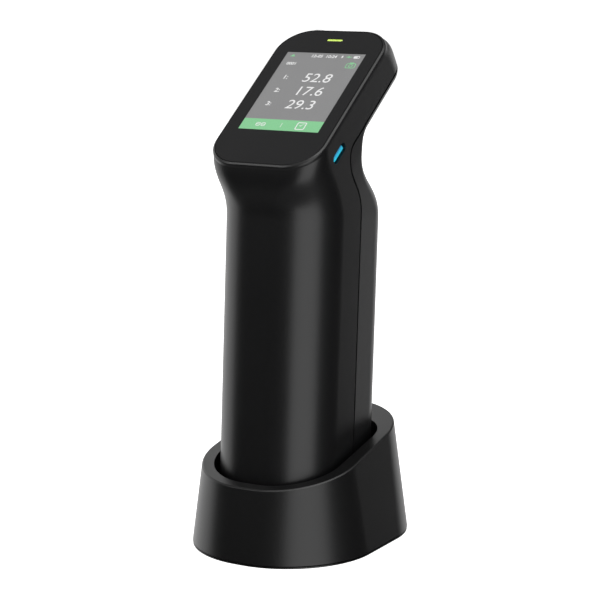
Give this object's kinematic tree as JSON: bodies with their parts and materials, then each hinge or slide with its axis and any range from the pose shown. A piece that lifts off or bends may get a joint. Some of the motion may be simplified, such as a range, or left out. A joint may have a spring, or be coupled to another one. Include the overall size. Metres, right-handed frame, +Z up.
{
  "type": "portable spectrophotometer with charging dock",
  "caption": "Handheld colour-measuring instrument with a tilted screen and a side button, standing in a tapered dock that charges and calibrates it.",
  "frame": {"origin": "middle of the bounding box, at the underside of the dock's rubber feet", "axes": "+Z up, -Y the way the screen and the front of the dock face, +X the side with the measuring button"},
  "size_m": [0.0912, 0.1152, 0.2436],
  "materials": {
    "black_plastic": "satin black moulded plastic with a fine even texture",
    "dock_plastic": "satin black moulded plastic",
    "cover_glass": "flat, smooth, nearly black",
    "display": "mid-grey display",
    "lamp_lens": "yellow-green light guide",
    "button_blue": "bright blue, with fine ribs",
    "circuit_board": "green solder mask",
    "inner_plastic": "matt dark moulding",
    "steel": "bright steel",
    "aluminium": "machined",
    "gold_contact": "gold-plated contact",
    "white_ceramic": "white glazed ceramic",
    "white_lining": "white diffuse lining",
    "optical_glass": "clear polished glass",
    "battery_wrap": "shrink-wrapped cell pack",
    "rubber": "matt black rubber"
  },
  "bodies": {
    "dock": {"dock_shell": "dock_plastic", "base_plate": "dock_plastic", "dock_screw_1": "steel", "dock_screw_2": "steel", "dock_screw_3": "steel", "dock_screw_4": "steel", "rubber_foot_1": "rubber", "rubber_foot_2": "rubber", "rubber_foot_3": "rubber", "rubber_foot_4": "rubber", "tile_holder": "inner_plastic", "calibration_tile": "white_ceramic", "pin_block": "inner_plastic", "dock_board": "circuit_board", "usb_socket": "steel"},
    "instrument": {"front_shell": "black_plastic", "rear_shell": "black_plastic", "display_glass": "cover_glass", "display_module": "display", "display_frame": "inner_plastic", "head_board": "circuit_board", "indicator_lens": "lamp_lens", "measure_switch": "inner_plastic", "side_board": "circuit_board", "power_switch": "steel", "data_port": "steel", "nose_plate": "inner_plastic", "aperture_ring": "inner_plastic", "aperture_window": "optical_glass", "contact_pad_1": "gold_contact", "contact_pad_2": "gold_contact", "lower_sphere": "white_lining", "upper_sphere": "white_lining", "lamp_board": "circuit_board", "lens_barrel": "aluminium", "collector_lens": "optical_glass", "optics_housing": "aluminium", "optics_cover": "aluminium", "grating": "optical_glass", "sensor_board": "circuit_board", "chassis": "aluminium", "battery_pack": "battery_wrap", "main_board": "circuit_board", "buzzer": "inner_plastic", "nose_screw_1": "steel", "nose_screw_2": "steel", "nose_screw_3": "steel", "nose_screw_4": "steel"},
    "measure_button_body": {"measure_button": "button_blue"},
    "power_button_body": {"power_button": "inner_plastic"},
    "port_cover_body": {"port_cover": "rubber"},
    "charge_pin_body_1": {"charge_pin_1": "gold_contact"},
    "charge_pin_body_2": {"charge_pin_2": "gold_contact"}
  },
  "joints": [
    {"name": "instrument_lift", "type": "slide", "parent": "dock", "child": "instrument", "axis": [0, 0.0602, 0.9982], "range_m": [0, 0.12]},
    {"name": "measure_button_press", "type": "slide", "parent": "instrument", "child": "measure_button_body", "axis": [-1, 0, 0], "range_m": [0, 0.0006], "stiffness_N_per_m": 400},
    {"name": "power_button_press", "type": "slide", "parent": "instrument", "child": "power_button_body", "axis": [0, -0.8139, -0.581], "range_m": [0, 0.0005], "stiffness_N_per_m": 400},
    {"name": "port_cover_pull", "type": "slide", "parent": "instrument", "child": "port_cover_body", "axis": [0, 0.8139, 0.581], "range_m": [0, 0.008]},
    {"name": "charge_pin_press_1", "type": "slide", "parent": "dock", "child": "charge_pin_body_1", "axis": [0, -0.0602, -0.9982], "range_m": [0, 0.001], "stiffness_N_per_m": 250},
    {"name": "charge_pin_press_2", "type": "slide", "parent": "dock", "child": "charge_pin_body_2", "axis": [0, -0.0602, -0.9982], "range_m": [0, 0.001], "stiffness_N_per_m": 250}
  ]
}
